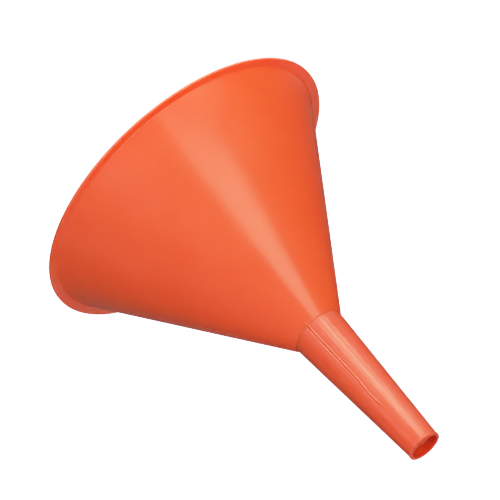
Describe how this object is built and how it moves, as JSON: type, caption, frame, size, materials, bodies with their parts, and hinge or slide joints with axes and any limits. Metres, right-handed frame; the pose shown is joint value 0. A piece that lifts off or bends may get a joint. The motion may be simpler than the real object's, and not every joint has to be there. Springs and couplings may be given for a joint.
{
  "type": "funnel",
  "caption": "Round plastic funnel: a wide cone with a flat outward rim, and a tapered spout fixed over its neck, for pouring liquids into narrow openings.",
  "frame": {"origin": "centre of the rim's flat face, the plane that the funnel stands on when it is put down mouth down", "axes": "+Z along the funnel's axis, from the mouth to the tip of the spout; +X and +Y in the plane of the rim"},
  "size_m": [0.2, 0.2, 0.2258],
  "materials": {
    "bowl_plastic": "orange-red moulded polypropylene, satin",
    "spout_plastic": "orange-red moulded polypropylene, glossy, drawn lengthwise"
  },
  "bodies": {
    "root": {"bowl": "bowl_plastic", "spout": "spout_plastic"}
  },
  "joints": []
}
